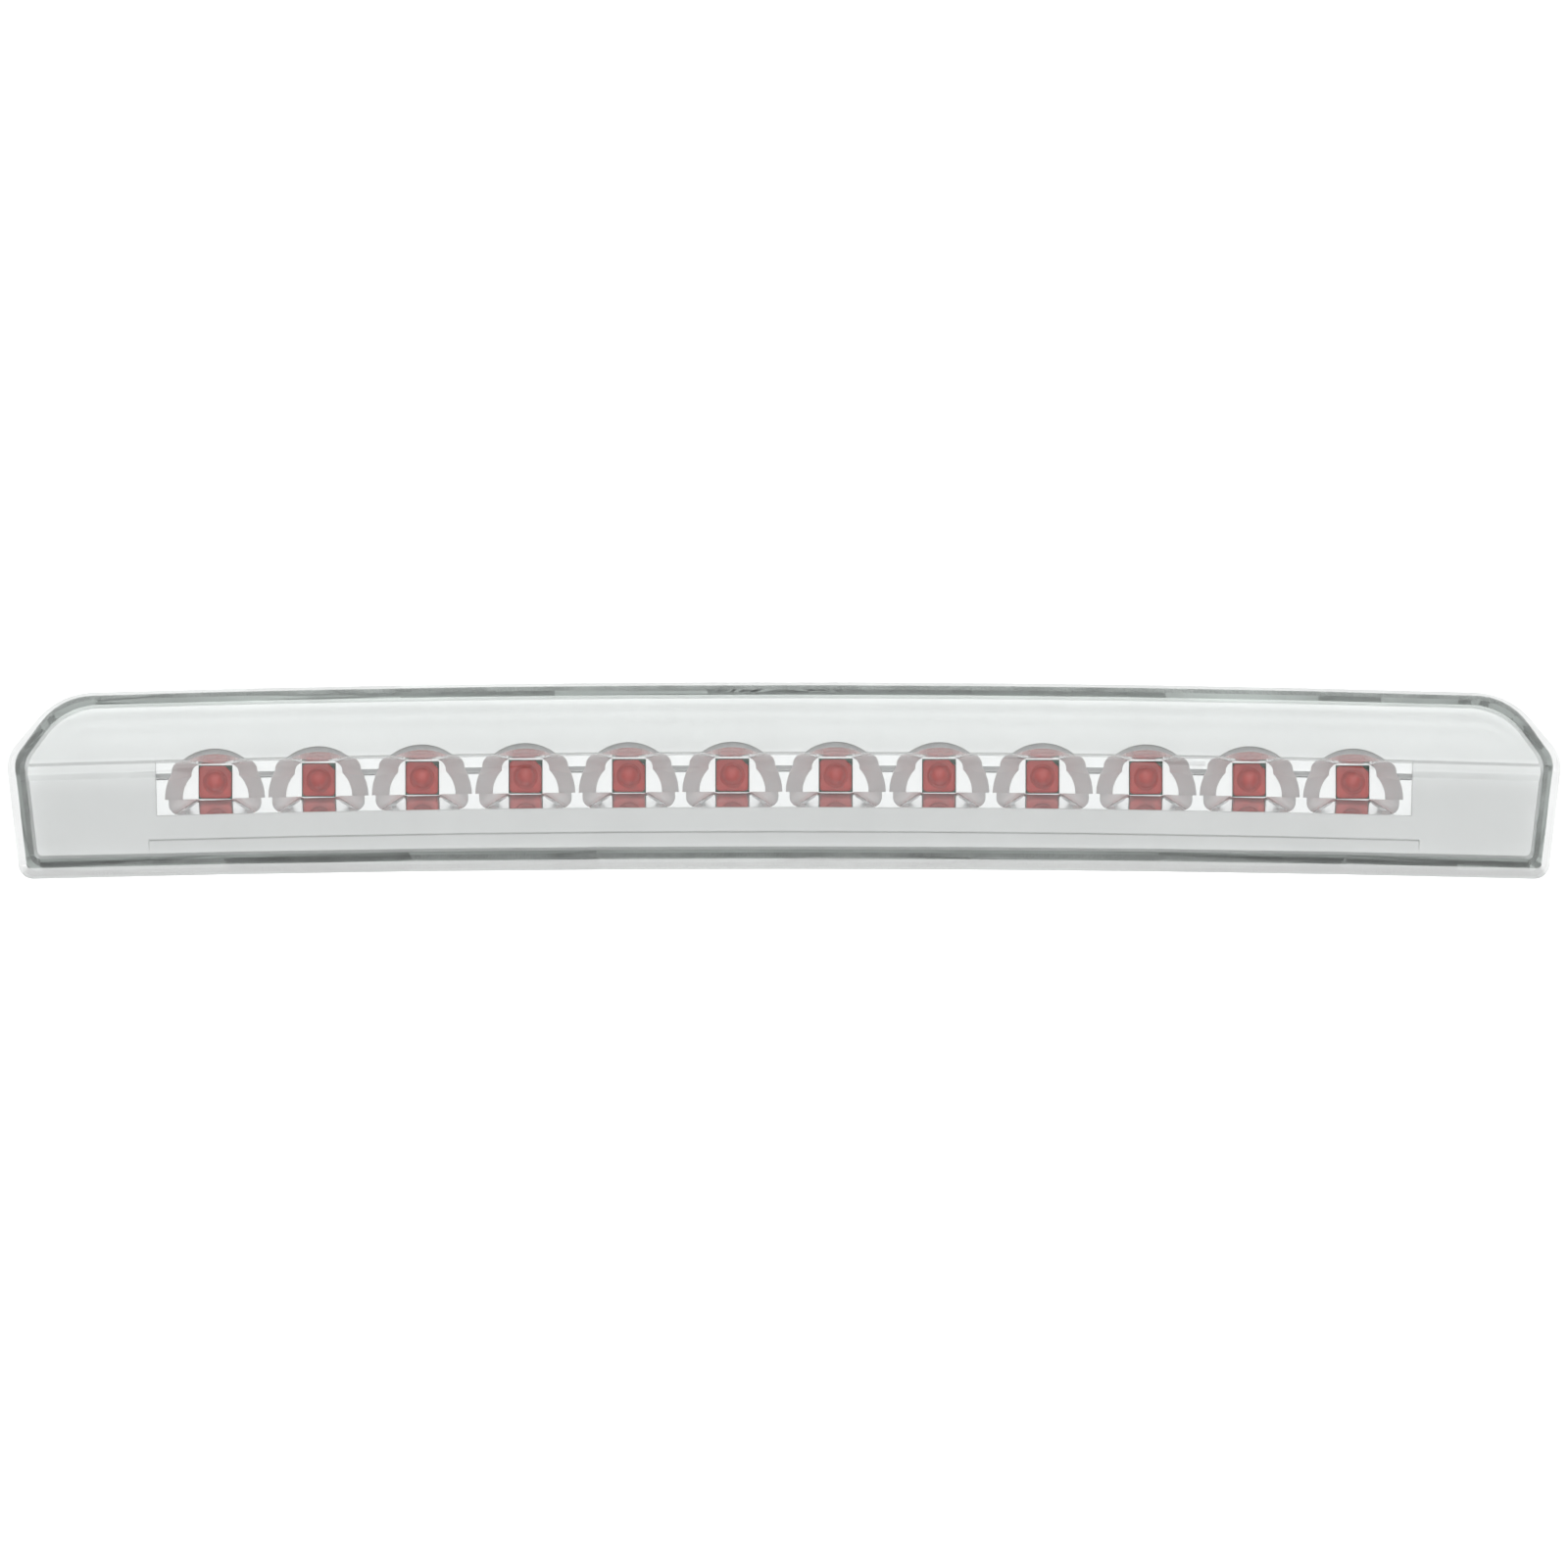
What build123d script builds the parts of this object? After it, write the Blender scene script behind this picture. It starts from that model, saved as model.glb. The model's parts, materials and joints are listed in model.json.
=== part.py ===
from build123d import *
from math import cos, degrees, radians, sin
import os

# A high-mounted LED stop lamp: a clear lens cap over a silver trim, twelve reflector cups and
# a sealed rear housing with two studs and a two-pole socket.
# Frame: +X to the right seen from the front, -Y out of the front, +Z up. The origin is the
# middle of the stud pattern, on the plane of the body panel that the gasket rests on.
# A depth is a distance in front of that plane, so it is measured along -Y.

# ---- Driving dimensions, millimetres and degrees ----
lamp_depth = 24.0
top_edge = 22.9
bottom_edge = -21.3
arch_radius = 5500.0
wall_draft = 8.0

# Corners of the outline, right half, seen from the front
shoulder = (171.4, 20.2)
flank = (184.0, 5.3)
foot = (180.6, -23.7)
shoulder_radius = 18.0
flank_radius = 8.5
foot_radius = 3.6

# Front of the lens: an upright lower face, then a face that leans back above the ridge
ridge_height = 5.0
ridge_radius = 8.0
lean = 0.805

# Shells and their gaps
gasket_thickness = 2.0
gasket_width = 5.0
floor_thickness = 2.5
lens_wall = 2.3
lens_edge_radius = 1.6
bezel_gap = 0.8
bezel_wall = 1.5
bezel_foot = 8.1
fit_gap = 0.1

# Front of the bezel, going up: upright face, a bevel, a flat, an undercut line, a face that leans back
bevel_low = 2.3
bevel_high = 3.9
bevel_setback = 1.4
line_low = 5.7
line_high = 6.5
line_setback = 1.6
line_rise = 0.3
crease_height = -12.2
crease_half_length = 150.0
crease_rise = 0.3
crease_slope = 0.45
crease_return = 2.4

# Lamps, cups and board
led_count = 12
led_pitch = 24.4
led_height = 0.9
led_body = 7.6
led_body_depth = 3.0
led_clip = 1.6
led_corner_radius = 0.6
dome_radius = 2.4
dome_neck = 0.8
collar_width = 0.5
collar_height = 0.5
window_half_width = 148.0
window_bottom = -6.6
window_top = 6.1
brow_radius = 11.8
brow_centre = -3.0
brow_shrink = 4.0
cup_wall = 1.2
cup_corner = 2.4
# A cup's hollow from its back plate to its mouth: (share of the depth, half width, low, high)
cup_sections = [
    (0.0, 5.6, -3.3, 5.2),
    (0.4, 7.9, -4.7, 5.8),
    (1.0, 10.9, window_bottom, window_top),
]
board_back = 8.0
board_thickness = 1.6
board_low = -8.0
board_high = 8.6
board_half_length = 146.0
lead_size = 0.5
lead_reach = 1.2
lead_half_width = 3.2
lead_half_height = 2.54
solder_reach = 0.3

# Fasteners
stud_half_spacing = 122.0
stud_radius = 2.5
stud_shoulder_radius = 3.2
stud_reach = 14.0
stud_head_radius = 5.2
stud_head_height = 2.5
washer_radius = 7.0
screw_radius = 1.05
screw_head_radius = 2.6
screw_head_height = 1.5
screw_slot_length = 2.8
screw_slot_width = 0.7
screw_slot_depth = 0.8
screw_tip_gap = 1.0
pilot_radius = 1.1
clearance_radius = 1.5
boss_radius = 3.2
bezel_post_bite = 7.3

# Socket and vent
socket_width = 14.0
socket_height = 10.5
socket_wall = 2.0
socket_reach = 15.0
socket_bottom = 1.0
blade_half_spacing = 4.5
blade_thickness = 0.8
blade_width = 2.8
blade_reach = 12.0
blade_chamfer = 0.7
flange_thickness = 1.6
latch_reach = 1.8
latch_length = 5.0
latch_setback = 2.0
key_size = 1.6
flange_overhang = (1.6, 4.0)
seal_outside = (26.0, 20.5)
seal_inside = (20.2, 14.9)
seal_radius = 3.0
vent_x = 60.0
vent_radius = 6.6
vent_ring = 1.2
vent_hole_radius = 0.8
vent_hole_circle = 2.6
membrane_thickness = 0.3

# Parts on the back of the board: width, height, thickness
resistor_size = (6.3, 3.2, 0.6)
diode_size = (4.4, 2.7, 2.2)
capacitor_size = (3.2, 1.6, 1.3)

# Rim, ribs and grooves of the housing
groove_inset = 0.6
groove_width = 1.1
groove_depth = 1.0
rim_inset = lens_wall + 0.5
rim_width = 1.5
rim_reach = 8.0
rib_width = 1.4
rib_reach = 1.4
rib_half_height = 9.4
rib_spots = [18.0, 38.0, 80.0, 100.0, 142.0]
gasket_inset = 3.0
plate_thickness = 1.4

# ---- Values worked out from them ----
floor_back = gasket_thickness
floor_front = floor_back + floor_thickness
bezel_inset = lens_wall + bezel_gap
bezel_face = lamp_depth - bezel_inset
board_front = board_back + board_thickness
cup_back = board_front + 4 * fit_gap + cup_wall
body_front = board_front + led_body_depth
mouth_depth = bezel_face - bezel_wall - fit_gap
arch_axis = Axis((0, 0, -arch_radius), (0, 1, 0))
# Far past the lamp, for sections that another shape cuts to size
far = 60.0
full_half_length = 200.0
led_spots = [(i - (led_count - 1) / 2) * led_pitch for i in range(led_count)]
board_screw_spots = [-4 * led_pitch, -led_pitch, led_pitch, 4 * led_pitch]
bezel_screw_spots = [(-160.0, -7.0), (-61.0, -13.0), (61.0, -13.0), (160.0, -7.0)]
stud_spots = [-stud_half_spacing, stud_half_spacing]
blade_spots = [-blade_half_spacing, blade_half_spacing]
chip_spots = [-4.5 * led_pitch, -1.5 * led_pitch, 1.5 * led_pitch, 4.5 * led_pitch]
lead_offsets = [
    (-lead_half_width, -lead_half_height),
    (-lead_half_width, lead_half_height),
    (lead_half_width, -lead_half_height),
    (lead_half_width, lead_half_height),
]
socket_outside = (socket_width + 2 * socket_wall, socket_height + 2 * socket_wall)
lens_section = [
    (-far, -far),
    (-far, lamp_depth),
    (ridge_height, lamp_depth),
    (far, lamp_depth - lean * (far - ridge_height)),
    (far, -far),
]
bezel_section = [
    (-far, -far),
    (-far, bezel_face),
    (bevel_low, bezel_face),
    (bevel_high, bezel_face - bevel_setback),
    (line_low, bezel_face - line_setback),
    (line_high, bezel_face - line_setback + line_rise),
    (far, bezel_face - line_setback + line_rise - lean * (far - line_high)),
    (far, -far),
]


def on_depth(depth):
    """Sketch plane at a depth, facing forward, with X to the right and Z up."""
    return Plane.XZ.offset(depth)


def on_arch(x, height, depth=0.0):
    """Place on the arched rows: x along the row, height above the row's base line."""
    angle = x / arch_radius
    radius = arch_radius + height
    place = (radius * sin(angle), -depth, radius * cos(angle) - arch_radius)
    return Location(place, (0, degrees(angle), 0))


def arch_point(x, height):
    """The same place as a point of a sketch that faces forward."""
    place = on_arch(x, height).position
    return (place.X, place.Z)


def mirrored(point):
    return (-point[0], point[1])


def outline(inset=0.0):
    """The lamp's outline seen from the front, drawn in by the inset."""
    with BuildSketch() as shape:
        with BuildLine():
            ThreePointArc(mirrored(shoulder), (0, top_edge), shoulder)
            Line(shoulder, flank)
            Line(flank, foot)
            ThreePointArc(foot, (0, bottom_edge), mirrored(foot))
            Line(mirrored(foot), mirrored(flank))
            Line(mirrored(flank), mirrored(shoulder))
        make_face()
        if inset > 0:
            offset(amount=-inset, kind=Kind.INTERSECTION, mode=Mode.REPLACE)
        fillet(shape.vertices().group_by(Axis.Y)[-1], shoulder_radius)
        fillet(shape.vertices().group_by(Axis.Y)[0], foot_radius)
        fillet(shape.vertices().sort_by(Axis.X)[0], flank_radius)
        fillet(shape.vertices().sort_by(Axis.X)[-1], flank_radius)
    return shape.sketch


def ring(outer_inset, width):
    """A band that follows the outline."""
    with BuildSketch() as band:
        add(outline(outer_inset))
        add(outline(outer_inset + width), mode=Mode.SUBTRACT)
    return band.sketch


def arched_bar(points, half_length, inset=0.0, radius=0.0):
    """A bar that follows the arch. Its section is a list of (height, depth) points."""
    half_angle = half_length / arch_radius
    start = Plane(
        origin=(0, 0, -arch_radius),
        x_dir=(0, 1, 0),
        z_dir=(cos(half_angle), 0, sin(half_angle)),
    )
    with BuildPart() as bar:
        with BuildSketch(start) as section:
            with BuildLine():
                Polyline(*[(-depth, arch_radius + height) for height, depth in points], close=True)
            make_face()
            if inset > 0:
                offset(amount=-inset, kind=Kind.INTERSECTION, mode=Mode.REPLACE)
            if radius > 0:
                front_corners = section.vertices().group_by(Axis.X)[0]
                fillet(front_corners.sort_by(Axis.Y)[-1], radius)
        revolve(axis=arch_axis, revolution_arc=2 * degrees(half_angle))
    return bar.part


def straight_bar(low, high, back, front):
    """Section of a rectangular arched bar: heights low to high, depths back to front."""
    return [(low, back), (low, front), (high, front), (high, back)]


def drafted_block(inset, front):
    """The lamp's drafted walls, moved in by the inset and closed by a front surface."""
    with BuildPart() as block:
        with BuildSketch(on_depth(floor_front)):
            add(outline(inset))
        extrude(amount=lamp_depth, taper=wall_draft)
        add(front, mode=Mode.INTERSECT)
    return block.part


def cup(x, grow=0.0):
    """The hollow of one mirrored cup, grown by a wall: a flared pocket under a conical brow."""
    back = cup_back - grow
    depth = mouth_depth - back
    with BuildPart() as hollow:
        with Locations((0, -back - depth / 2, brow_centre)):
            Cone(brow_radius - brow_shrink + grow, brow_radius + grow, depth, rotation=(90, 0, 0))
        with Locations((0, 0, brow_centre)):
            Box(far, far, far, align=(Align.CENTER, Align.CENTER, Align.MAX), mode=Mode.SUBTRACT)
        for share, half_width, low, high in cup_sections:
            with BuildSketch(on_depth(back + share * depth)):
                with Locations((0, (low + high) / 2)):
                    RectangleRounded(2 * (half_width + grow), high - low + 2 * grow, cup_corner + grow)
        loft()
    return on_arch(x, 0) * hollow.part


def window():
    """Opening of the bezel: a long arched slot with a brow over every lamp."""
    left_low = arch_point(-window_half_width, window_bottom)
    left_high = arch_point(-window_half_width, window_top)
    with BuildSketch() as opening:
        with BuildLine():
            ThreePointArc(left_low, (0, window_bottom), mirrored(left_low))
            Line(mirrored(left_low), mirrored(left_high))
            ThreePointArc(mirrored(left_high), (0, window_top), left_high)
            Line(left_high, left_low)
        make_face()
        with Locations(*[arch_point(x, brow_centre) for x in led_spots]):
            add(brow())
    return opening.sketch


def brow():
    """The part of a brow's circle that rises above its own centre."""
    with BuildSketch() as cap:
        Circle(brow_radius)
        Rectangle(2 * brow_radius, brow_radius, align=(Align.CENTER, Align.MIN), mode=Mode.INTERSECT)
    return cap.sketch


def tapping_screw(length):
    """Pan-head screw along +Z, seated at its origin, with a cross recess."""
    with BuildPart() as screw:
        Cylinder(screw_head_radius, screw_head_height, align=(Align.CENTER, Align.CENTER, Align.MIN))
        fillet(screw.edges().sort_by(Axis.Z)[-1], screw_head_height / 2)
        with BuildSketch(Plane.XY.offset(screw_head_height)):
            Rectangle(screw_slot_length, screw_slot_width)
            Rectangle(screw_slot_width, screw_slot_length)
        extrude(amount=-screw_slot_depth, mode=Mode.SUBTRACT)
        with BuildSketch(Plane.XY):
            Circle(screw_radius)
        extrude(amount=-length)
        chamfer(screw.edges().sort_by(Axis.Z)[0], screw_radius / 2)
    return screw.part


def save(piece, name):
    """Label a finished piece and write it."""
    piece.part.label = name
    export_step(piece.part, f"parts/{name}.step")


os.makedirs("parts", exist_ok=True)

# ---- Outer lens: a clear cap with drafted walls and a soft ridge ----
lens_outside = drafted_block(0, arched_bar(lens_section, full_half_length, 0, ridge_radius))
lens_inside = drafted_block(
    lens_wall,
    arched_bar(lens_section, full_half_length, lens_wall, ridge_radius - lens_wall),
)
with BuildPart() as outer_lens:
    add(lens_outside)
    front_faces = outer_lens.faces().filter_by(lambda face: face.normal_at().Y < -0.5)
    wall_faces = outer_lens.faces().filter_by(lambda face: abs(face.normal_at().Y) < 0.5)
    rim = [edge for edge in front_faces.edges() if edge in wall_faces.edges()]
    fillet(rim, lens_edge_radius)
    add(lens_inside, mode=Mode.SUBTRACT)
save(outer_lens, "outer_lens")

# ---- Seal bead: fills the groove under the lens foot ----
with BuildPart() as lens_seal_bead:
    with BuildSketch(on_depth(floor_front - groove_depth)):
        add(ring(groove_inset, groove_width))
    extrude(amount=groove_depth)
save(lens_seal_bead, "lens_seal_bead")

# ---- Rear housing: floor, locating rim, bosses, ribs and openings ----
with BuildPart() as rear_housing:
    with BuildSketch(on_depth(floor_back)):
        add(outline())
    extrude(amount=floor_thickness)
    with BuildSketch(on_depth(floor_front)):
        add(outline(rim_inset))
    extrude(amount=rim_reach - floor_front, taper=wall_draft)
    with BuildSketch(on_depth(floor_front)):
        add(outline(rim_inset + rim_width))
    extrude(amount=rim_reach - floor_front, taper=wall_draft, mode=Mode.SUBTRACT)
    with BuildSketch(on_depth(floor_front)):
        with Locations(*[arch_point(x, led_height) for x in board_screw_spots]):
            Circle(boss_radius)
        with Locations(*bezel_screw_spots):
            Circle(boss_radius)
    extrude(amount=board_back - floor_front)
    # Fences on both sides of each stud head stop it from turning.
    with BuildSketch(on_depth(floor_front)):
        with Locations(*[(x, side * (stud_head_radius + 0.5)) for x in stud_spots for side in (-1, 1)]):
            Rectangle(2 * stud_head_radius, rib_width)
    extrude(amount=stud_head_height)
    # Stiffening ribs stand on the back, inside the gasket.
    with BuildSketch(on_depth(floor_back - rib_reach)):
        with Locations(*[(side * x, 0) for x in rib_spots for side in (-1, 1)]):
            Rectangle(rib_width, 2 * rib_half_height)
        with GridLocations(0, 2 * rib_half_height, 1, 2):
            Rectangle(2 * rib_spots[-1] + rib_width, rib_width)
        Rectangle(2 * rib_spots[0], far, mode=Mode.SUBTRACT)
    extrude(amount=rib_reach)
    with BuildSketch(on_depth(floor_front - groove_depth)):
        add(ring(groove_inset, groove_width))
    extrude(amount=groove_depth, mode=Mode.SUBTRACT)
    with BuildSketch(on_depth(floor_front)):
        with Locations(*[arch_point(x, led_height) for x in board_screw_spots]):
            Circle(pilot_radius)
    extrude(amount=board_back - floor_front, mode=Mode.SUBTRACT)
    with BuildSketch(on_depth(0)):
        with Locations(*bezel_screw_spots):
            Circle(clearance_radius)
        with Locations(*[(x, 0) for x in stud_spots]):
            Circle(stud_shoulder_radius)
        with Locations((vent_x, 0)):
            with PolarLocations(vent_hole_circle, 3):
                Circle(vent_hole_radius)
        Rectangle(*socket_outside)
    extrude(amount=board_back, mode=Mode.SUBTRACT)
    with BuildSketch(on_depth(0)):
        with Locations(*bezel_screw_spots):
            Circle(screw_head_radius + 0.4)
    extrude(amount=floor_back + screw_head_height, mode=Mode.SUBTRACT)
save(rear_housing, "rear_housing")

# ---- Inner bezel: the silver trim with the lamp window, skirts, a crease and screw posts ----
bezel_outside = drafted_block(bezel_inset, arched_bar(bezel_section, full_half_length))
bezel_inside = drafted_block(
    bezel_inset + bezel_wall,
    arched_bar(bezel_section, full_half_length, bezel_wall),
)
crease_low = crease_height - crease_slope - crease_return
crease_root = bezel_face - bezel_wall / 2
crease = [
    (crease_height, crease_root),
    (crease_height, bezel_face),
    (crease_height - crease_slope, bezel_face + crease_rise),
    (crease_low, bezel_face),
    (crease_low, crease_root),
]
with BuildPart() as inner_bezel:
    add(bezel_outside)
    add(bezel_inside, mode=Mode.SUBTRACT)
    with BuildSketch(on_depth(board_front)):
        with Locations(*bezel_screw_spots):
            Circle(boss_radius)
    extrude(amount=crease_root - board_front)
    add(arched_bar(crease, crease_half_length))
    with BuildSketch(on_depth(board_front + 2)):
        add(window())
    extrude(amount=lamp_depth, mode=Mode.SUBTRACT)
    with BuildSketch(on_depth(0)):
        add(outline())
    extrude(amount=bezel_foot, mode=Mode.SUBTRACT)
    with BuildSketch(on_depth(0)):
        with Locations(*bezel_screw_spots):
            Circle(pilot_radius)
    extrude(amount=bezel_foot + bezel_post_bite, mode=Mode.SUBTRACT)
save(inner_bezel, "inner_bezel")

# ---- Reflector strip: a plate behind the window with twelve thin cups, closed around the lamps ----
cups_inside = [cup(x) for x in led_spots]
cups_outside = [cup(x, cup_wall) for x in led_spots]
bezel_clearance = drafted_block(
    bezel_inset + bezel_wall + fit_gap,
    arched_bar(bezel_section, full_half_length, bezel_wall + fit_gap),
)
plate_low = window_bottom - 2
plate_high = brow_centre + brow_radius + 5
plate_back = mouth_depth - plate_thickness
plate_slope_back = plate_back - line_setback
plate = straight_bar(plate_low, plate_high, board_front + cup_wall, mouth_depth)
# What lies behind the plate: upright at first, then leaning back like the bezel.
behind_plate = [
    (-far, -far),
    (-far, plate_back),
    (bevel_low - plate_thickness, plate_back),
    (bevel_high, plate_slope_back),
    (line_high, plate_slope_back),
    (far, plate_slope_back - lean * (far - line_high)),
    (far, -far),
]
with BuildPart() as reflector_strip:
    add(arched_bar(plate, window_half_width + 2))
    add(arched_bar(behind_plate, full_half_length), mode=Mode.SUBTRACT)
    add(cups_outside)
    add(bezel_clearance, mode=Mode.INTERSECT)
    add(cups_inside, mode=Mode.SUBTRACT)
    with BuildSketch(on_depth(board_front)):
        with Locations(*[arch_point(x, led_height) for x in led_spots]):
            Rectangle(led_body + 4 * fit_gap, led_body + 4 * fit_gap)
    extrude(amount=led_body_depth, mode=Mode.SUBTRACT)
save(reflector_strip, "reflector_strip")

# ---- Circuit board: an arched strip with holes for leads, screws and the two terminals ----
board = straight_bar(board_low, board_high, board_back, board_front)
lead_spots = [arch_point(x + dx, led_height + dz) for x in led_spots for dx, dz in lead_offsets]
with BuildPart() as circuit_board:
    add(arched_bar(board, board_half_length))
    with BuildSketch(on_depth(0)):
        with Locations(*lead_spots):
            Circle(lead_size)
        with Locations(*[arch_point(x, led_height) for x in board_screw_spots]):
            Circle(clearance_radius)
        with Locations(*[(x, 0) for x in blade_spots]):
            Rectangle(blade_thickness, blade_width)
    extrude(amount=lamp_depth, mode=Mode.SUBTRACT)
save(circuit_board, "circuit_board")

# ---- Lamps: a square body with a clipped corner and a dome, one node for each ----
for number, x in enumerate(led_spots, start=1):
    with BuildPart() as led:
        with BuildSketch(on_depth(board_front)) as base:
            Rectangle(led_body, led_body)
            chamfer(base.vertices().sort_by(Axis.X)[-1], led_clip)
            fillet(base.vertices().group_by(Axis.X)[0], led_corner_radius)
        extrude(amount=led_body_depth)
        with BuildSketch(on_depth(body_front)):
            Circle(dome_radius + collar_width)
        extrude(amount=collar_height)
        with BuildSketch(on_depth(body_front)):
            Circle(dome_radius)
        extrude(amount=dome_neck)
        with Locations((0, -body_front - dome_neck, 0)):
            Sphere(dome_radius)
    led.part = on_arch(x, led_height) * led.part
    save(led, f"led_{number:02d}")

# ---- Leads: four square pins under every lamp ----
with BuildPart() as led_leads:
    with BuildSketch(on_depth(board_back - lead_reach)):
        with Locations(*lead_spots):
            Rectangle(lead_size, lead_size)
    extrude(amount=board_thickness + lead_reach)
save(led_leads, "led_leads")

# ---- Parts on the back of the board ----
with BuildPart() as resistors:
    with BuildSketch(on_depth(board_back)):
        with Locations(*[arch_point(x + 8.4, -4.6) for x in chip_spots]):
            Rectangle(*resistor_size[:2])
    extrude(amount=-resistor_size[2])
save(resistors, "resistors")

with BuildPart() as protection_diode:
    with BuildSketch(on_depth(board_back)):
        with Locations(arch_point(-36.0, 4.6)):
            Rectangle(*diode_size[:2])
    extrude(amount=-diode_size[2])
    chamfer(protection_diode.faces().sort_by(Axis.Y)[-1].edges(), 0.4)
save(protection_diode, "protection_diode")

with BuildPart() as capacitor:
    with BuildSketch(on_depth(board_back)):
        with Locations(arch_point(36.0, 4.6)):
            Rectangle(*capacitor_size[:2])
    extrude(amount=-capacitor_size[2])
    fillet(capacitor.faces().sort_by(Axis.Y)[-1].edges(), 0.2)
save(capacitor, "capacitor")

# ---- Connector socket: a flanged shroud through the floor, open to the rear ----
latch_start = socket_reach - latch_setback
latch_end = latch_start - latch_length
with BuildPart() as connector_socket:
    with BuildSketch(on_depth(-socket_reach)):
        RectangleRounded(*socket_outside, socket_wall)
    extrude(amount=socket_reach + floor_back)
    with BuildSketch(on_depth(floor_back)):
        Rectangle(*socket_outside)
    extrude(amount=floor_thickness)
    with BuildSketch(on_depth(floor_front)):
        Rectangle(socket_outside[0] + flange_overhang[0], socket_outside[1] + flange_overhang[1])
    extrude(amount=flange_thickness)
    with BuildSketch(on_depth(-socket_reach)):
        RectangleRounded(socket_width, socket_height, 1.2)
    extrude(amount=socket_reach - socket_bottom, mode=Mode.SUBTRACT)
    mouth = connector_socket.faces().sort_by(Axis.Y)[-1]
    chamfer(mouth.inner_wires()[0].edges(), 0.6)
    # Latch ramp on the top, and a keying rib on each side.
    with BuildSketch(Plane.YZ.offset(-latch_length / 2)):
        with BuildLine():
            Polyline(
                (latch_start, socket_outside[1] / 2),
                (latch_end, socket_outside[1] / 2 + latch_reach),
                (latch_end, socket_outside[1] / 2),
                close=True,
            )
        make_face()
    extrude(amount=latch_length)
    with BuildSketch(on_depth(-latch_start)):
        with GridLocations(socket_outside[0] + key_size / 2, 0, 2, 1):
            Rectangle(key_size, key_size)
    extrude(amount=latch_start)
    with BuildSketch(on_depth(-socket_reach)):
        with Locations(*[(x, 0) for x in blade_spots]):
            Rectangle(blade_thickness, blade_width)
    extrude(amount=socket_reach + board_back, mode=Mode.SUBTRACT)
save(connector_socket, "connector_socket")

with BuildPart() as socket_seal:
    with BuildSketch(on_depth(0)):
        RectangleRounded(*seal_outside, seal_radius)
        RectangleRounded(*seal_inside, socket_wall, mode=Mode.SUBTRACT)
    extrude(amount=gasket_thickness)
save(socket_seal, "socket_seal")

# ---- Terminals: two tinned blades, soldered into the board ----
for name, x in zip(("terminal_positive", "terminal_negative"), blade_spots):
    with BuildPart() as blade:
        with BuildSketch(on_depth(-blade_reach)):
            with Locations((x, 0)):
                Rectangle(blade_thickness, blade_width)
        extrude(amount=blade_reach + board_front + solder_reach)
        tip = blade.faces().sort_by(Axis.Y)[-1]
        chamfer(tip.edges().filter_by(Axis.X), blade_chamfer)
    save(blade, name)

# ---- Seals on the back ----
with BuildPart() as body_gasket:
    with BuildSketch(on_depth(0)):
        add(ring(gasket_inset, gasket_width))
    extrude(amount=gasket_thickness)
save(body_gasket, "body_gasket")

with BuildPart() as stud_seal_washers:
    with BuildSketch(on_depth(0)):
        with Locations(*[(x, 0) for x in stud_spots]):
            Circle(washer_radius)
            Circle(stud_shoulder_radius + 2 * fit_gap, mode=Mode.SUBTRACT)
    extrude(amount=gasket_thickness)
save(stud_seal_washers, "stud_seal_washers")

with BuildPart() as vent_membrane:
    with BuildSketch(on_depth(floor_back)):
        with Locations((vent_x, 0)):
            Circle(vent_radius - vent_ring - 2 * fit_gap)
    extrude(amount=-membrane_thickness)
save(vent_membrane, "vent_membrane")

with BuildPart() as vent_cap:
    with BuildSketch(on_depth(0.4)):
        with Locations((vent_x, 0)):
            Circle(vent_radius)
    extrude(amount=floor_back - 0.4)
    fillet(vent_cap.faces().sort_by(Axis.Y)[-1].edges(), 0.4)
    with BuildSketch(on_depth(1.2)):
        with Locations((vent_x, 0)):
            Circle(vent_radius - vent_ring)
            with PolarLocations(vent_radius - vent_ring / 2, 6):
                Rectangle(2 * vent_ring, vent_ring)
    extrude(amount=floor_back, mode=Mode.SUBTRACT)
save(vent_cap, "vent_cap")

# ---- Studs: a hexagon head inside the floor, a round shoulder in it and a thread to the rear ----
for name, x in zip(("mounting_stud_left", "mounting_stud_right"), stud_spots):
    with BuildPart() as stud:
        with BuildSketch(on_depth(floor_front)):
            with Locations((x, 0)):
                RegularPolygon(stud_head_radius, 6)
        extrude(amount=stud_head_height)
        with BuildSketch(on_depth(0)):
            with Locations((x, 0)):
                Circle(stud_shoulder_radius)
        extrude(amount=floor_front)
        with BuildSketch(on_depth(-stud_reach)):
            with Locations((x, 0)):
                Circle(stud_radius)
        extrude(amount=stud_reach)
        chamfer(stud.edges().sort_by(Axis.Y)[-1], 0.5)
    save(stud, name)

# ---- Screws ----
towards_back = Rotation(90, 0, 0)
towards_front = Rotation(-90, 0, 0)
board_screw = tapping_screw(board_front - floor_front - 3 * fit_gap)
bezel_screw_reach = bezel_foot + bezel_post_bite - screw_tip_gap
bezel_screw = tapping_screw(bezel_screw_reach - floor_back - screw_head_height)
with BuildPart() as board_screws:
    with Locations(*[on_arch(x, led_height, board_front) for x in board_screw_spots]):
        add(towards_back * board_screw)
save(board_screws, "board_screws")

with BuildPart() as bezel_screws:
    with Locations(*[(x, -floor_back - screw_head_height, height) for x, height in bezel_screw_spots]):
        add(towards_front * bezel_screw)
save(bezel_screws, "bezel_screws")
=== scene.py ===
import json
from math import cos, radians, sin, tau

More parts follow.
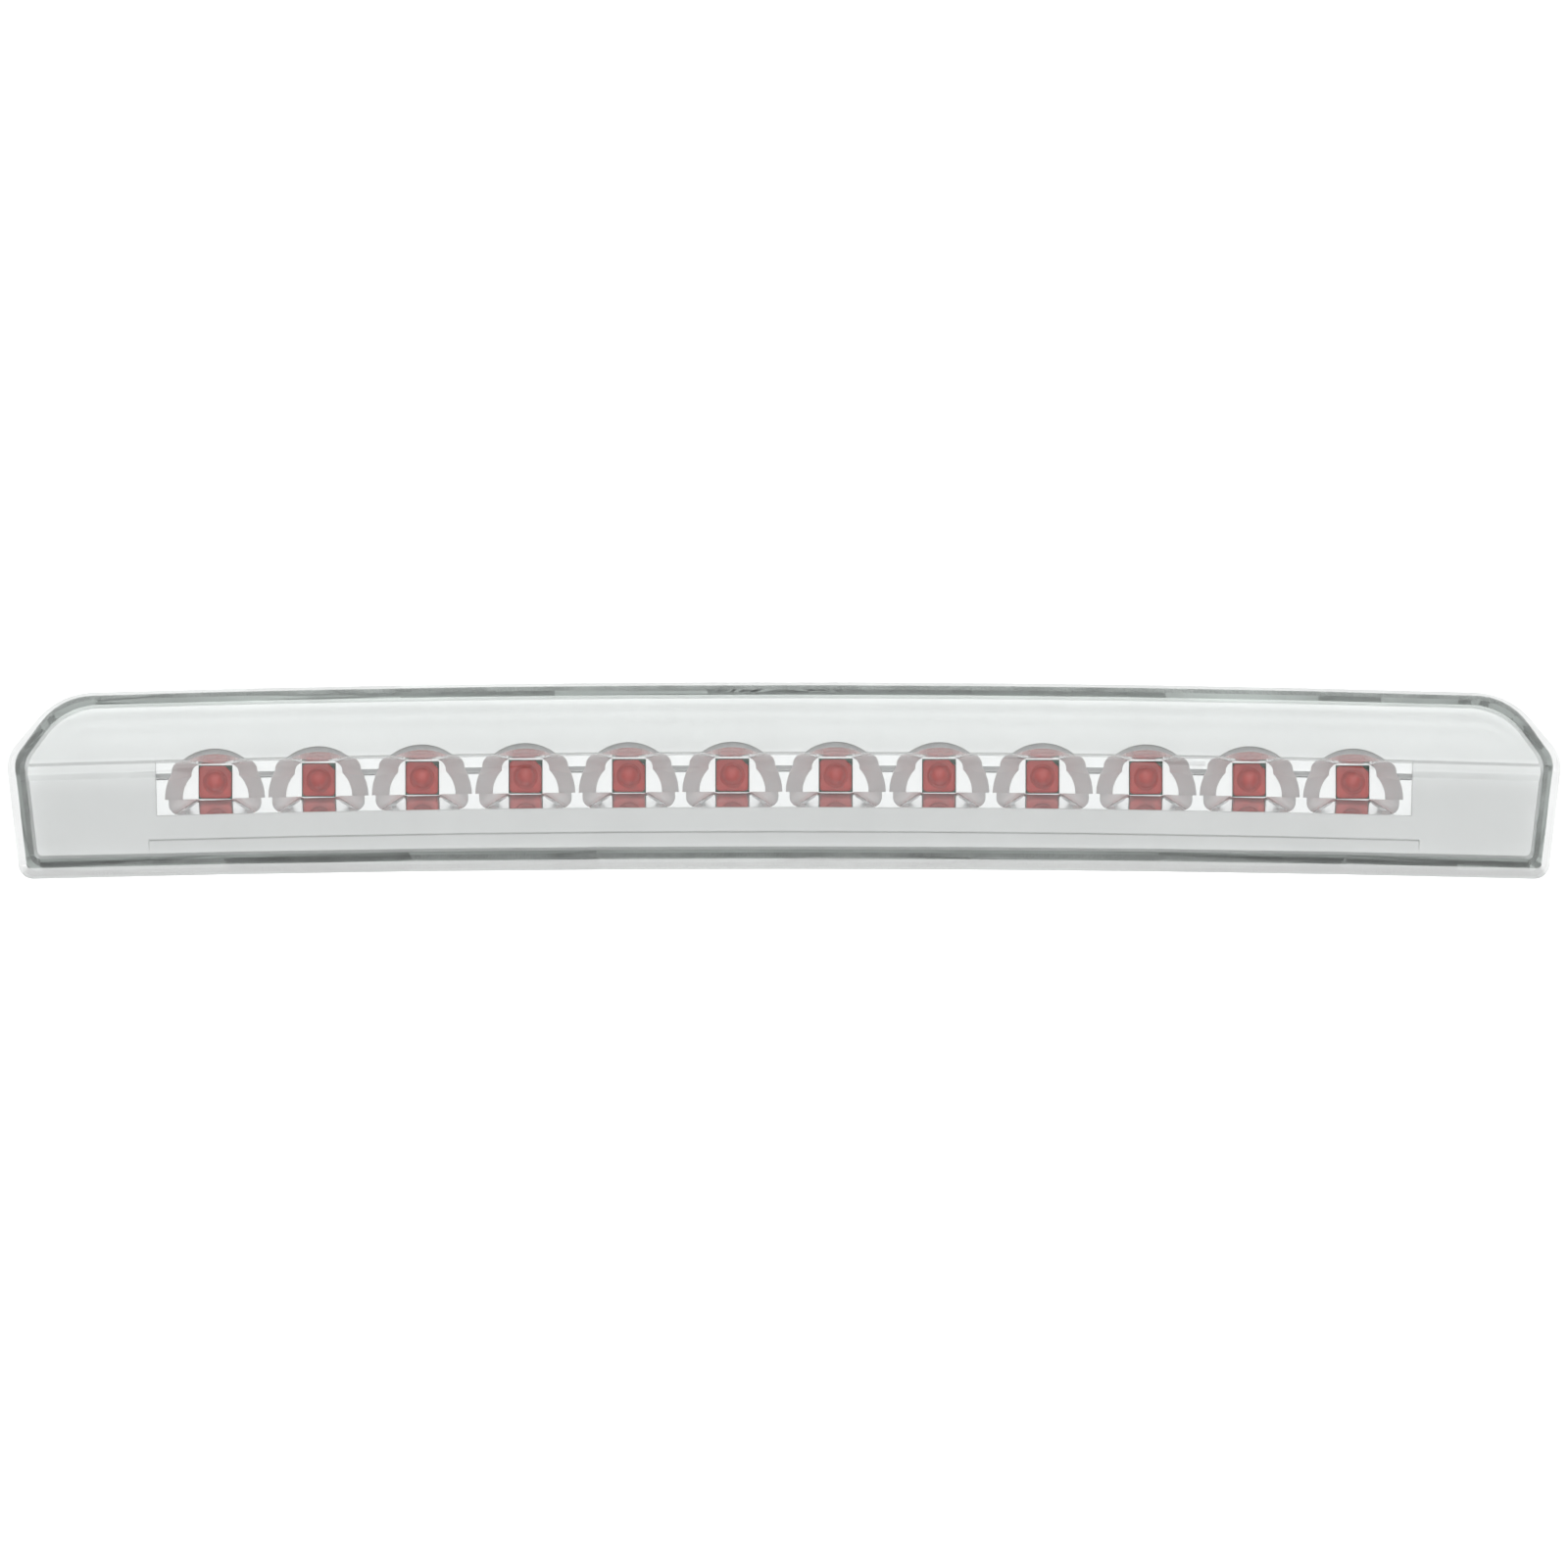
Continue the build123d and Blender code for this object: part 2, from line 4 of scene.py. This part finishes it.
import bpy
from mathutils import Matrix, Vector


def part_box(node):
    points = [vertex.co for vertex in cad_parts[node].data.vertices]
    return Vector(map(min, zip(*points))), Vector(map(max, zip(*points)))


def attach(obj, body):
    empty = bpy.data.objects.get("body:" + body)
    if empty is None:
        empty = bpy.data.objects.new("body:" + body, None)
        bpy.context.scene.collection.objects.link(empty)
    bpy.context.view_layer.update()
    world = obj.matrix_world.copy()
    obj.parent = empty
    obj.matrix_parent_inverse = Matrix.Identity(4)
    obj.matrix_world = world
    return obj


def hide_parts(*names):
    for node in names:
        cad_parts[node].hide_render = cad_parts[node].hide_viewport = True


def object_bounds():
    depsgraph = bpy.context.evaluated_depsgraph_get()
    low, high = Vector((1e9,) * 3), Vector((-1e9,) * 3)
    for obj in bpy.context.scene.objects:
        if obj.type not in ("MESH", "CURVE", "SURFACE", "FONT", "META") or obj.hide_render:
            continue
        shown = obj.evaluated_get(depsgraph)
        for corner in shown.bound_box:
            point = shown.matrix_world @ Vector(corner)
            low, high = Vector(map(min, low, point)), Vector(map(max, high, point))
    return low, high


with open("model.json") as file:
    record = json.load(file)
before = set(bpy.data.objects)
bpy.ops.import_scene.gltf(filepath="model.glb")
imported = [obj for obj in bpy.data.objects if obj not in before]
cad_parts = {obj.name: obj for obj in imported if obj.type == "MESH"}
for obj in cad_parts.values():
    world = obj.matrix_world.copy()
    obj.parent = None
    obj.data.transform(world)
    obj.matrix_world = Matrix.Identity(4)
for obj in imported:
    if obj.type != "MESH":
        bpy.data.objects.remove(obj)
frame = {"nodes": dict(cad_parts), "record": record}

CAD_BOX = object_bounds()
NODES = frame["nodes"]
MM = 0.001
WHITE = (1, 1, 1, 1)
LED_NODES = sorted(n for n in NODES if n.startswith("led_") and n != "led_leads")
STUD_NODES = ("mounting_stud_left", "mounting_stud_right")


def scaled(color, share):
    return tuple(c * share for c in color)


# ---------------------------------------------------------------- node helpers

# Where a tint's darker and lighter colours start, on a noise from 0 to 1
TINT_START = 0.3
TINT_END = 0.7


class Shader:
    """A material under construction: makes nodes and links their sockets."""

    def __init__(self, name):
        self.material = bpy.data.materials.new(name)
        self.material.use_nodes = True
        self.tree = self.material.node_tree
        self.tree.nodes.clear()
        self.output = self.add("ShaderNodeOutputMaterial")

    def add(self, kind, **values):
        node = self.tree.nodes.new(kind)
        for key, value in values.items():
            setattr(node, key, value)
        return node

    def link(self, source, target):
        self.tree.links.new(source, target)

    def principled(self, color, roughness, metallic=0.0):
        node = self.add("ShaderNodeBsdfPrincipled")
        node.inputs["Base Color"].default_value = (*color, 1.0)
        node.inputs["Roughness"].default_value = roughness
        node.inputs["Metallic"].default_value = metallic
        return node

    def position(self):
        return self.add("ShaderNodeTexCoord").outputs["Object"]

    def noise(self, scale, detail=3.0, rough=0.5, stretch=(1, 1, 1)):
        mapping = self.add("ShaderNodeMapping")
        mapping.inputs["Scale"].default_value = stretch
        self.link(self.position(), mapping.inputs["Vector"])
        node = self.add("ShaderNodeTexNoise")
        node.inputs["Scale"].default_value = scale
        node.inputs["Detail"].default_value = detail
        node.inputs["Roughness"].default_value = rough
        self.link(mapping.outputs["Vector"], node.inputs["Vector"])
        return node.outputs["Fac"]

    def ramp(self, factor, stops):
        node = self.add("ShaderNodeValToRGB")
        elements = node.color_ramp.elements
        while len(elements) < len(stops):
            elements.new(0.5)
        for element, (place, color) in zip(elements, stops):
            element.position = place
            element.color = (*color, 1.0)
        self.link(factor, node.inputs["Fac"])
        return node.outputs["Color"]

    def value_ramp(self, factor, stops):
        return self.ramp(factor, [(place, (value, value, value)) for place, value in stops])

    def tint(self, factor, dark, light):
        return self.ramp(factor, [(TINT_START, dark), (TINT_END, light)])

    def span(self, factor, low, high, start=0.0, end=1.0):
        """The factor's stretch from start to end, moved to low and high."""
        node = self.add("ShaderNodeMapRange")
        node.inputs["From Min"].default_value = start
        node.inputs["From Max"].default_value = end
        node.inputs["To Min"].default_value = low
        node.inputs["To Max"].default_value = high
        self.link(factor, node.inputs["Value"])
        return node.outputs["Result"]

    def bump(self, height, distance, strength, normal=None):
        node = self.add("ShaderNodeBump")
        node.inputs["Distance"].default_value = distance
        node.inputs["Strength"].default_value = strength
        self.link(height, node.inputs["Height"])
        if normal is not None:
            self.link(normal, node.inputs["Normal"])
        return node.outputs["Normal"]

    def mix(self, factor, first, second):
        node = self.add("ShaderNodeMixShader")
        if isinstance(factor, float):
            node.inputs["Fac"].default_value = factor
        else:
            self.link(factor, node.inputs["Fac"])
        self.link(first, node.inputs[1])
        self.link(second, node.inputs[2])
        return node.outputs["Shader"]

    def facing(self):
        """0 where the surface is seen face on, 1 where it is seen edge on."""
        node = self.add("ShaderNodeLayerWeight")
        node.inputs["Blend"].default_value = 0.5
        return node.outputs["Facing"]

    def fresnel(self, ior):
        node = self.add("ShaderNodeFresnel")
        node.inputs["IOR"].default_value = ior
        return node.outputs["Fac"]

    def plain(self, kind, color):
        """A simple shader node of one colour."""
        node = self.add(kind)
        node.inputs["Color"].default_value = color
        return node

    def finish(self, shader):
        self.link(shader, self.output.inputs["Surface"])
        return self.material


# ---------------------------------------------------------------- materials

ACRYLIC_IOR = 1.49
EPOXY_IOR = 1.52
# See-through tint of the lens by how edge on it is seen. It is darker and greener edge on, partly from
# the longer path through the acrylic and partly as painted shade standing in for refracted dark
# surroundings.
LENS_TINTS_WITH_EDGE_SHADE = [
    (0.0, (0.985, 0.99, 0.988)),
    (0.7, (0.965, 0.98, 0.974)),
    (1.0, (0.89, 0.94, 0.92)),
]
LENS_HAZE = 0.3
LENS_HAZE_COLOR = (0.86, 0.89, 0.88, 1)
RED_TINTS = [
    (0.0, (0.95, 0.26, 0.22)),
    (0.6, (0.85, 0.12, 0.10)),
    (1.0, (0.45, 0.03, 0.03)),
]
SOFT_EDGE_RADIUS = 0.35 * MM
# A cup's flank is grained by how far its normal turns sideways
FLANK_START = 0.2
FLANK_END = 0.6


def clear_lens():
    """Clear moulded acrylic: see-through face on, with a pale haze where the wall is edge on. Edge on,
    the see-through tint also turns darker and greener: partly the longer path through the acrylic,
    partly painted shade standing in for dark surroundings seen by refraction.
    """
    s = Shader("clear_lens")
    facing = s.facing()
    clear = s.add("ShaderNodeBsdfTransparent")
    # Painted edge shade: the see-through tint darkens edge on, in place of dark surroundings seen by
    # refraction.
    s.link(s.ramp(facing, LENS_TINTS_WITH_EDGE_SHADE), clear.inputs["Color"])
    haze = s.plain("ShaderNodeBsdfDiffuse", LENS_HAZE_COLOR)
    glow = s.plain("ShaderNodeBsdfTranslucent", LENS_HAZE_COLOR)
    cloudy = s.mix(0.5, haze.outputs["BSDF"], glow.outputs["BSDF"])
    edge = s.value_ramp(facing, [(0.55, 0.0), (0.80, LENS_HAZE), (1.0, LENS_HAZE)])
    body = s.mix(edge, clear.outputs["BSDF"], cloudy)
    gloss = s.plain("ShaderNodeBsdfGlossy", WHITE)
    s.link(s.span(s.noise(60, 2), 0.015, 0.04), gloss.inputs["Roughness"])
    return s.finish(s.mix(s.fresnel(ACRYLIC_IOR), body, gloss.outputs["BSDF"]))


def red_shell():
    """Clear red epoxy of a lamp: what is inside shows through it, tinted."""
    s = Shader("red_shell")
    clear = s.add("ShaderNodeBsdfTransparent")
    s.link(s.ramp(s.facing(), RED_TINTS), clear.inputs["Color"])
    body = s.add("ShaderNodeBsdfDiffuse")
    s.link(s.tint(s.noise(260, 2), (0.82, 0.06, 0.05), (0.95, 0.10, 0.08)), body.inputs["Color"])
    gloss = s.plain("ShaderNodeBsdfGlossy", WHITE)
    gloss.inputs["Roughness"].default_value = 0.05
    inner = s.mix(0.5, clear.outputs["BSDF"], body.outputs["BSDF"])
    return s.finish(s.mix(s.fresnel(EPOXY_IOR), inner, gloss.outputs["BSDF"]))


def silver_trim():
    """Satin silver paint with a fine grain. Its edges catch the light softly."""
    s = Shader("silver_trim")
    grain = s.noise(2600, 2, 0.6)
    body = s.principled((0.78, 0.785, 0.785), 0.38, 0.55)
    s.link(s.tint(s.noise(45, 3), (0.76, 0.765, 0.765), (0.80, 0.805, 0.805)), body.inputs["Base Color"])
    s.link(s.span(grain, 0.34, 0.46), body.inputs["Roughness"])
    soft_edge = s.add("ShaderNodeBevel")
    soft_edge.inputs["Radius"].default_value = SOFT_EDGE_RADIUS
    s.link(s.bump(grain, 0.00003, 0.4, soft_edge.outputs["Normal"]), body.inputs["Normal"])
    return s.finish(body.outputs["BSDF"])


def mirror_coat():
    """Bright metal coat: clear on the floors, roofs and plate, and grained on the flanks of a cup."""
    s = Shader("mirror_coat")
    body = s.principled((0.88, 0.885, 0.89), 0.08, 0.8)
    sides = s.add("ShaderNodeSeparateXYZ")
    s.link(s.add("ShaderNodeNewGeometry").outputs["Normal"], sides.inputs["Vector"])
    slant = s.add("ShaderNodeMath", operation="ABSOLUTE")
    s.link(sides.outputs["X"], slant.inputs[0])
    flank = slant.outputs["Value"]
    s.link(s.span(flank, 0.8, 0.15, FLANK_START, FLANK_END), body.inputs["Metallic"])
    wave = s.noise(180, 2)
    rough = s.add("ShaderNodeMath", operation="MULTIPLY")
    s.link(s.span(flank, 0.08, 0.5, FLANK_START, FLANK_END), rough.inputs[0])
    s.link(s.span(wave, 0.8, 1.2), rough.inputs[1])
    s.link(rough.outputs["Value"], body.inputs["Roughness"])
    s.link(s.bump(wave, 0.00002, 0.3), body.inputs["Normal"])
    return s.finish(body.outputs["BSDF"])


def red_lamp():
    """The record's slot for the lamps' red epoxy, as a solid body."""
    s = Shader("red_lamp")
    body = s.principled((0.70, 0.05, 0.04), 0.16)
    body.inputs["Subsurface Weight"].default_value = 0.3
    body.inputs["Subsurface Radius"].default_value = (0.004, 0.001, 0.001)
    s.link(s.tint(s.noise(220, 2), (0.62, 0.04, 0.03), (0.78, 0.09, 0.06)), body.inputs["Base Color"])
    return s.finish(body.outputs["BSDF"])


def moulded(name, color):
    """Matte moulded plastic with a fine grain."""
    s = Shader(name)
    grain = s.noise(1500, 3, 0.6)
    body = s.principled(color, 0.55)
    s.link(s.span(grain, 0.45, 0.65), body.inputs["Roughness"])
    s.link(s.tint(s.noise(30, 4), scaled(color, 0.85), scaled(color, 1.25)), body.inputs["Base Color"])
    s.link(s.bump(grain, 0.00006, 0.5), body.inputs["Normal"])
    return s.finish(body.outputs["BSDF"])


def foam_rubber(name, color):
    """A matte, pitted surface, for foam, sealant and fabric."""
    s = Shader(name)
    cells = s.add("ShaderNodeTexVoronoi")
    cells.inputs["Scale"].default_value = 1400
    s.link(s.position(), cells.inputs["Vector"])
    body = s.principled(color, 0.85)
    s.link(s.tint(s.noise(90, 4), scaled(color, 0.8), scaled(color, 1.4)), body.inputs["Base Color"])
    s.link(s.bump(cells.outputs["Distance"], 0.0002, 0.7), body.inputs["Normal"])
    return s.finish(body.outputs["BSDF"])


def metal(name, color, low, high):
    """Plated metal, its roughness between low and high, with a grain across Y."""
    s = Shader(name)
    body = s.principled(color, low, 1.0)
    grain = s.noise(500, 4, 0.6, (1, 6, 1))
    s.link(s.span(grain, low, high), body.inputs["Roughness"])
    s.link(s.tint(s.noise(120, 3), scaled(color, 0.9), color), body.inputs["Base Color"])
    s.link(s.bump(grain, 0.00003, 0.4), body.inputs["Normal"])
    return s.finish(body.outputs["BSDF"])


def board_laminate():
    s = Shader("board_laminate")
    body = s.principled((0.03, 0.16, 0.08), 0.35)
    s.link(s.tint(s.noise(200, 4), (0.02, 0.13, 0.06), (0.05, 0.20, 0.10)), body.inputs["Base Color"])
    return s.finish(body.outputs["BSDF"])


MATERIALS = {
    "clear_lens": clear_lens(),
    "silver_trim": silver_trim(),
    "mirror_coat": mirror_coat(),
    "red_lamp": red_lamp(),
    "grey_housing": moulded("grey_housing", (0.68, 0.72, 0.70)),
    "black_plastic": moulded("black_plastic", (0.03, 0.03, 0.032)),
    "seal_compound": foam_rubber("seal_compound", (0.50, 0.52, 0.51)),
    "seal_rubber": foam_rubber("seal_rubber", (0.035, 0.035, 0.036)),
    "board_laminate": board_laminate(),
    "chip_ceramic": moulded("chip_ceramic", (0.04, 0.04, 0.045)),
    "tinned_metal": metal("tinned_metal", (0.80, 0.80, 0.78), 0.15, 0.3),
    "zinc_steel": metal("zinc_steel", (0.66, 0.67, 0.68), 0.22, 0.4),
    "membrane_fabric": foam_rubber("membrane_fabric", (0.8, 0.8, 0.78)),
}

RED_SHELL = red_shell()


def dress_nodes():
    """Give every CAD node the material of its slot."""
    for row in frame["record"]["subparts"]:
        node = NODES[row["node"]]
        node.data.materials.clear()
        node.data.materials.append(MATERIALS[row["material_slot"]])


# ---------------------------------------------------------------- detailed pieces

def mesh_piece(name, points, faces, slot, material=None, replaced=()):
    """A shown piece on the root body, with smooth faces."""
    data = bpy.data.meshes.new(name)
    data.from_pydata(points, [], faces)
    data.polygons.foreach_set("use_smooth", [True] * len(data.polygons))
    data.materials.append(material or MATERIALS[slot])
    piece = bpy.data.objects.new(name, data)
    bpy.context.scene.collection.objects.link(piece)
    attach(piece, "root")
    if replaced:
        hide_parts(*replaced)
    return piece


def skin(rings):
    """Points and faces between rings with the same count, with a cap on both ends."""
    count = len(rings[0])
    points = [p for ring in rings for p in ring]
    faces = []
    for i in range(len(rings) - 1):
        for j in range(count):
            k = (j + 1) % count
            faces.append((i * count + j, i * count + k, (i + 1) * count + k, (i + 1) * count + j))
    faces.append(tuple(range(count))[::-1])
    faces.append(tuple(range((len(rings) - 1) * count, len(rings) * count)))
    return points, faces


def round_ring(x, z, radius, y, count=48):
    ring = []
    for j in range(count):
        a = tau * j / count
        ring.append((x + radius * cos(a), y, z + radius * sin(a)))
    return ring


# ---- Lamps: a clear red shell over a tinned frame with a cup and a chip

LED_MARGIN = 0.05 * MM
LED_CORNER = 0.9 * MM
LED_CLIP = 1.5 * MM
LED_EDGE = 0.35 * MM
CORNER_STEPS = 6
EDGE_STEPS = 4
DOME_RADIUS = 2.4 * MM
DOME_SHARE = 0.48
DOME_STEP = 6
TIP_RADIUS = 0.02 * MM
# Collar at the foot of the dome: how far out of the dome, and how far in front of the body
COLLAR = [(0.5 * MM, 0.0), (0.5 * MM, 0.35 * MM), (0.25 * MM, 0.5 * MM), (0.0, 0.55 * MM)]
FRAME_SHARE = 0.45
FRAME_REACH = 0.86
FRAME_GAP_LEFT = 0.30
FRAME_GAP_RIGHT = 0.42
FRAME_SHORT = 0.55
FRAME_THICKNESS = 0.3 * MM
CUP_FLOOR = 0.2 * MM
CUP_HEIGHT = 0.8 * MM
CUP_SIDES = 32
# The small cup: its radii at the foot, at both sides of the lip and at the floor
CUP_RADII = (1.55 * MM, 1.5 * MM, 1.25 * MM, 0.7 * MM)
CHIP_HALF = 0.3 * MM
CHIP_TOP = 0.45 * MM


def led_outline(half, inset, y, x0, z0):
    """A square with three rounded corners and the top right one clipped, seen from the front."""
    half -= inset
    points = []
    for i in range(CORNER_STEPS + 1):
        cut = LED_CLIP * i / CORNER_STEPS
        points.append((half - cut, half - LED_CLIP + cut))
    r = LED_CORNER - inset * 0.5
    for sx, sz, start in ((-1, 1, 90), (-1, -1, 180), (1, -1, 270)):
        for i in range(CORNER_STEPS + 1):
            a = radians(start + 90 * i / CORNER_STEPS)
            points.append((sx * (half - r) + r * cos(a), sz * (half - r) + r * sin(a)))
    return [(x0 + x, y, z0 + z) for x, z in points]


def slab(x_low, x_high, z_low, z_high, y_back, y_front):
    corners = [(x_low, z_low), (x_high, z_low), (x_high, z_high), (x_low, z_high)]
    return skin([[(x, y, z) for x, z in corners] for y in (y_back, y_front)])


def joined(parts):
    """One list of points and one of faces from several."""
    points, faces = [], []
    for more_points, more_faces in parts:
        start = len(points)
        points += more_points
        faces += [tuple(i + start for i in face) for face in more_faces]
    return points, faces


def led_shell(half, back, front, deck, x, z):
    """The body with soft edges, and the dome on its collar."""
    rings = [
        led_outline(half, LED_EDGE, back, x, z),
        led_outline(half, 0, back - LED_EDGE, x, z),
    ]
    for i in range(EDGE_STEPS + 1):
        a = radians(90 * i / EDGE_STEPS)
        rings.append(led_outline(half, LED_EDGE * (1 - cos(a)), deck + LED_EDGE * (1 - sin(a)), x, z))
    profile = [(DOME_RADIUS + out, deck - rise) for out, rise in COLLAR]
    for degrees in range(0, 90, DOME_STEP):
        a = radians(degrees)
        profile.append((DOME_RADIUS * cos(a), front + DOME_RADIUS - DOME_RADIUS * sin(a)))
    profile.append((TIP_RADIUS, front))
    return joined([skin(rings), skin([round_ring(x, z, r, y) for r, y in profile])])


def led_frame(half, back, deck, x, z):
    """Two tinned plates with a gap between them, a small cup and the chip in it."""
    plate = back + (deck - back) * FRAME_SHARE
    face = plate - FRAME_THICKNESS
    lip = face - CUP_HEIGHT
    floor = face - CUP_FLOOR
    reach = half * FRAME_REACH
    gap_left = x + reach * FRAME_GAP_LEFT
    gap_right = x + reach * FRAME_GAP_RIGHT
    profile = list(zip(CUP_RADII, (face, lip, lip, floor)))
    profile.append((TIP_RADIUS, floor))
    return joined([
        slab(x - reach, gap_left, z - reach, z + reach, plate, face),
        slab(gap_right, x + reach, z - reach, z + reach * FRAME_SHORT, plate, face),
        skin([round_ring(x, z, r, y, CUP_SIDES) for r, y in profile]),
        slab(x - CHIP_HALF, x + CHIP_HALF, z - CHIP_HALF, z + CHIP_HALF, floor, face - CHIP_TOP),
    ])


def lamp(node):
    low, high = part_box(node)
    x, _, z = (low + high) / 2
    half = min(high[0] - low[0], high[2] - low[2]) / 2 - LED_MARGIN
    back, front = high[1], low[1]
    deck = back + (front - back) * DOME_SHARE
    shell = led_shell(half, back, front, deck, x, z)
    mesh_piece(node + "_shell", *shell, "red_lamp", RED_SHELL, (node,))
    mesh_piece(node + "_frame", *led_frame(half, back, deck, x, z), "tinned_metal")


# ---- Studs: hexagon head, shoulder and a rolled thread

THREAD_PITCH = 0.8 * MM
THREAD_DEPTH = 0.42 * MM
CREST_SLOPE = 2.4
RINGS_PER_TURN = 8
ROD_SIDES = 40
SHOULDER_RADIUS = 3.2 * MM
STUD_RADIUS = 2.5 * MM
STUD_TIP_CHAMFER = 0.6 * MM
HEAD_RADIUS = 5.2 * MM
HEAD_EDGE = 0.35 * MM
FLOOR_FRONT = 4.5 * MM


def hexagon_ring(x, z, radius, y):
    """A hexagon with as many points as the round rings have."""
    ring = []
    for j in range(ROD_SIDES):
        a = tau * j / ROD_SIDES
        from_middle = (a % (tau / 6)) - tau / 12
        r = radius * cos(tau / 12) / cos(from_middle)
        ring.append((x + r * cos(a), y, z + r * sin(a)))
    return ring


def thread_ring(x, z, y, tip):
    """A ring of the thread, which fades in at the panel and is chamfered at the tip."""
    limit = min(STUD_RADIUS, STUD_RADIUS - STUD_TIP_CHAMFER + (tip - y))
    start = min(1.0, y / THREAD_PITCH)
    ring = []
    for j in range(ROD_SIDES):
        turn = (y / THREAD_PITCH - j / ROD_SIDES) % 1.0
        crest = 1.0 - min(1.0, CREST_SLOPE * abs(turn - 0.5))
        r = min(limit, STUD_RADIUS - THREAD_DEPTH * (1 - crest * start))
        a = tau * j / ROD_SIDES
        ring.append((x + r * cos(a), y, z + r * sin(a)))
    return ring


def stud(node):
    low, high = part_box(node)
    x, z = (low[0] + high[0]) / 2, (low[2] + high[2]) / 2
    head, tip = low[1], high[1]
    rings = [
        hexagon_ring(x, z, HEAD_RADIUS - HEAD_EDGE, head),
        hexagon_ring(x, z, HEAD_RADIUS, head + HEAD_EDGE),
        hexagon_ring(x, z, HEAD_RADIUS, -FLOOR_FRONT),
        round_ring(x, z, SHOULDER_RADIUS, -FLOOR_FRONT, ROD_SIDES),
        round_ring(x, z, SHOULDER_RADIUS, 0.0, ROD_SIDES),
        round_ring(x, z, STUD_RADIUS - THREAD_DEPTH, 0.0, ROD_SIDES),
    ]
    steps = int(tip / THREAD_PITCH * RINGS_PER_TURN)
    rings += [thread_ring(x, z, tip * i / steps, tip) for i in range(1, steps + 1)]
    mesh_piece(node + "_threaded", *skin(rings), "zinc_steel", None, (node,))


# ---------------------------------------------------------------- studio

PICTURE_WIDTH = 0.3692
SENSOR_WIDTH = 36.0
CAMERA_DISTANCE = 5.0
CAMERA_RISE = -0.0008
VIEW_LIMIT = 50.0
FLOOR_DROP = 0.25
FLOOR_HALF = 1.5
FLOOR_TONE = 0.72
FLOOR_ROUGHNESS = 0.8
WORLD_LIGHT = 1.33
# Share of the light from the ground, and from the side that the lamp faces
GROUND_LIGHT = 0.54
FRONT_LIGHT = 0.88
# Where each share fades out, as the height or Y of the direction that the light comes from
GROUND_FADE = (-0.4, -0.06)
FRONT_FADE = (-0.95, -0.55)
KEY_PLACE = (0.0, -0.5, 0.9)
KEY_WIDTH = 1.2
KEY_HEIGHT = 0.5
KEY_POWER = 1.0


def studio_world():
    """White all round, a little darker towards the ground and on the side that the lamp faces."""
    world = bpy.data.worlds.new("studio")
    world.use_nodes = True
    tree = world.node_tree
    place = tree.nodes.new("ShaderNodeTexCoord")
    parts = tree.nodes.new("ShaderNodeSeparateXYZ")
    tree.links.new(place.outputs["Generated"], parts.inputs["Vector"])

    def fade(axis, stretch, low, high):
        node = tree.nodes.new("ShaderNodeMapRange")
        node.inputs["From Min"].default_value = stretch[0]
        node.inputs["From Max"].default_value = stretch[1]
        node.inputs["To Min"].default_value = low
        node.inputs["To Max"].default_value = high
        tree.links.new(parts.outputs[axis], node.inputs["Value"])
        return node.outputs["Result"]

    both = tree.nodes.new("ShaderNodeMath")
    both.operation = "MULTIPLY"
    tree.links.new(fade("Z", GROUND_FADE, WORLD_LIGHT * GROUND_LIGHT, WORLD_LIGHT), both.inputs[0])
    tree.links.new(fade("Y", FRONT_FADE, FRONT_LIGHT, 1.0), both.inputs[1])
    background = tree.nodes["Background"]
    background.inputs["Color"].default_value = WHITE
    tree.links.new(both.outputs["Value"], background.inputs["Strength"])
    bpy.context.scene.world = world


def key_light():
    """A soft box above and in front, turned to the lamp."""
    data = bpy.data.lights.new("key_above", "AREA")
    data.shape = "RECTANGLE"
    data.size = KEY_WIDTH
    data.size_y = KEY_HEIGHT
    data.energy = KEY_POWER
    light = bpy.data.objects.new("key_above", data)
    light.location = KEY_PLACE
    light.rotation_euler = (-Vector(KEY_PLACE)).to_track_quat("-Z", "Y").to_euler()
    bpy.context.scene.collection.objects.link(light)


def pale_floor(level):
    half = FLOOR_HALF
    corners = [(-half, -half, level), (half, -half, level), (half, half, level), (-half, half, level)]
    data = bpy.data.meshes.new("floor")
    data.from_pydata(corners, [], [(0, 1, 2, 3)])
    s = Shader("floor")
    body = s.principled((FLOOR_TONE, FLOOR_TONE, FLOOR_TONE), FLOOR_ROUGHNESS)
    data.materials.append(s.finish(body.outputs["BSDF"]))
    floor = bpy.data.objects.new("floor", data)
    bpy.context.scene.collection.objects.link(floor)


def front_camera(low, high):
    """A long lens straight in front, framed on the lamp's width."""
    data = bpy.data.cameras.new("camera")
    data.sensor_width = SENSOR_WIDTH
    data.lens = SENSOR_WIDTH * CAMERA_DISTANCE / PICTURE_WIDTH
    data.clip_end = VIEW_LIMIT
    camera = bpy.data.objects.new("camera", data)
    camera.location = (0, low[1] - CAMERA_DISTANCE, (low[2] + high[2]) / 2 + CAMERA_RISE)
    camera.rotation_euler = (radians(90), 0, 0)
    bpy.context.scene.collection.objects.link(camera)
    bpy.context.scene.camera = camera


def studio():
    low, high = CAD_BOX
    studio_world()
    key_light()
    pale_floor(low[2] - FLOOR_DROP)
    front_camera(low, high)
    bpy.context.scene.view_settings.view_transform = "Standard"


dress_nodes()
for led_node in LED_NODES:
    lamp(led_node)
for stud_node in STUD_NODES:
    stud(stud_node)
studio()
